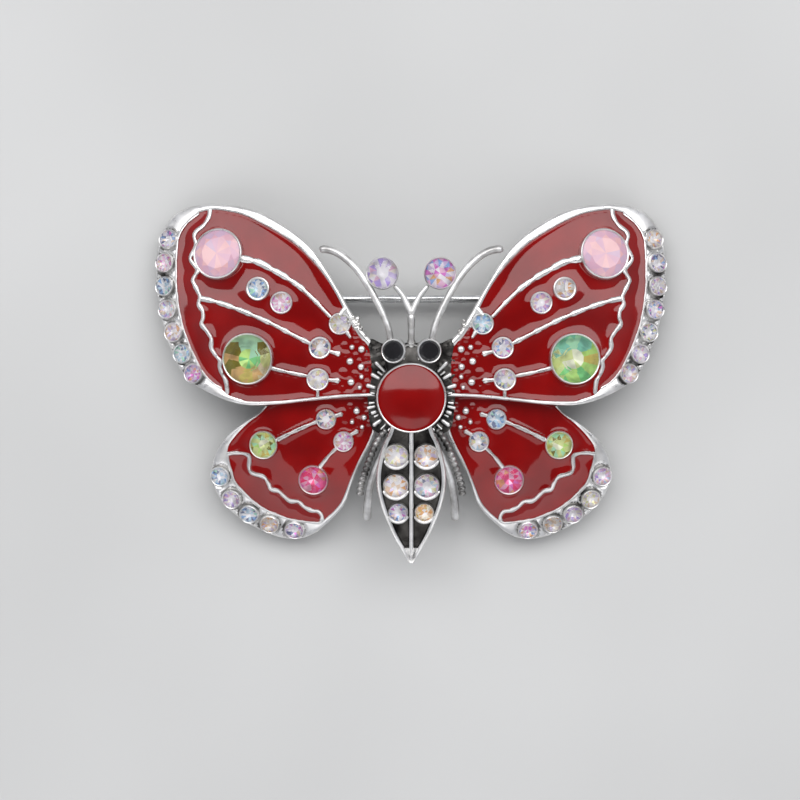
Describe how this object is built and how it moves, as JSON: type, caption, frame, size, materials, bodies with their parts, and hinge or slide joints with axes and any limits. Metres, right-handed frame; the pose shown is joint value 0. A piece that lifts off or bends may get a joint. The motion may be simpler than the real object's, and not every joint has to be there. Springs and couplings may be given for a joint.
{
  "type": "brooch",
  "caption": "Domed butterfly brooch with poured enamel wings, set faceted stones, antennae and a hinged pin that locks in a rolling catch.",
  "frame": {"origin": "on the surface the brooch rests on, under the middle of its outline", "axes": "+X along the wing span to the right-hand wing seen from the front, +Y towards the antennae, +Z out of the decorated face"},
  "size_m": [0.0516, 0.0361, 0.0095],
  "materials": {
    "silver": "polished",
    "steel": "satin",
    "red_enamel": "polished",
    "crystal_stone": "polished",
    "opal_stone": "polished",
    "green_stone": "polished",
    "citrine_stone": "polished",
    "pink_stone": "polished",
    "jet_stone": "polished"
  },
  "bodies": {
    "brooch": {"abdomen_stone_left_1": "crystal_stone", "abdomen_stone_left_2": "crystal_stone", "abdomen_stone_left_3": "crystal_stone", "abdomen_stone_right_1": "crystal_stone", "abdomen_stone_right_2": "crystal_stone", "abdomen_stone_right_3": "crystal_stone", "antenna_stone_left": "crystal_stone", "antenna_stone_right": "crystal_stone", "body_casting": "silver", "catch_housing": "steel", "eye_stone_left": "jet_stone", "eye_stone_right": "jet_stone", "lower_left_enamel_field": "red_enamel", "lower_left_enamel_margin": "red_enamel", "lower_left_rim_stones": "crystal_stone", "lower_left_stone_citrine": "citrine_stone", "lower_left_stone_pink": "pink_stone", "lower_left_stone_root_1": "crystal_stone", "lower_left_stone_root_2": "crystal_stone", "lower_right_enamel_field": "red_enamel", "lower_right_enamel_margin": "red_enamel", "lower_right_rim_stones": "crystal_stone", "lower_right_stone_citrine": "citrine_stone", "lower_right_stone_pink": "pink_stone", "lower_right_stone_root_1": "crystal_stone", "lower_right_stone_root_2": "crystal_stone", "pin_hinge_bracket": "steel", "pin_hinge_rivet": "steel", "thorax_enamel": "red_enamel", "upper_left_enamel_field": "red_enamel", "upper_left_enamel_leading": "red_enamel", "upper_left_enamel_margin": "red_enamel", "upper_left_rim_stones": "crystal_stone", "upper_left_stone_green": "green_stone", "upper_left_stone_mid_inner": "crystal_stone", "upper_left_stone_mid_outer": "crystal_stone", "upper_left_stone_opal": "opal_stone", "upper_left_stone_root_1": "crystal_stone", "upper_left_stone_root_2": "crystal_stone", "upper_left_stone_root_3": "crystal_stone", "upper_right_enamel_field": "red_enamel", "upper_right_enamel_leading": "red_enamel", "upper_right_enamel_margin": "red_enamel", "upper_right_rim_stones": "crystal_stone", "upper_right_stone_green": "green_stone", "upper_right_stone_mid_inner": "crystal_stone", "upper_right_stone_mid_outer": "crystal_stone", "upper_right_stone_opal": "opal_stone", "upper_right_stone_root_1": "crystal_stone", "upper_right_stone_root_2": "crystal_stone", "upper_right_stone_root_3": "crystal_stone", "wing_casting": "silver"},
    "pin": {"pin_stem": "steel"},
    "roller": {"catch_roller": "steel"}
  },
  "joints": [
    {"name": "pin_hinge", "type": "hinge", "parent": "brooch", "child": "pin", "pos_m": [-0.0132, 0.0085, 0.00145], "axis": [0, 1, 0], "range_deg": [0, 75]},
    {"name": "catch_turn", "type": "hinge", "parent": "brooch", "child": "roller", "pos_m": [0.0132, 0.0085, 0.00145], "axis": [-1, 0, 0], "range_deg": [0, 120]}
  ]
}
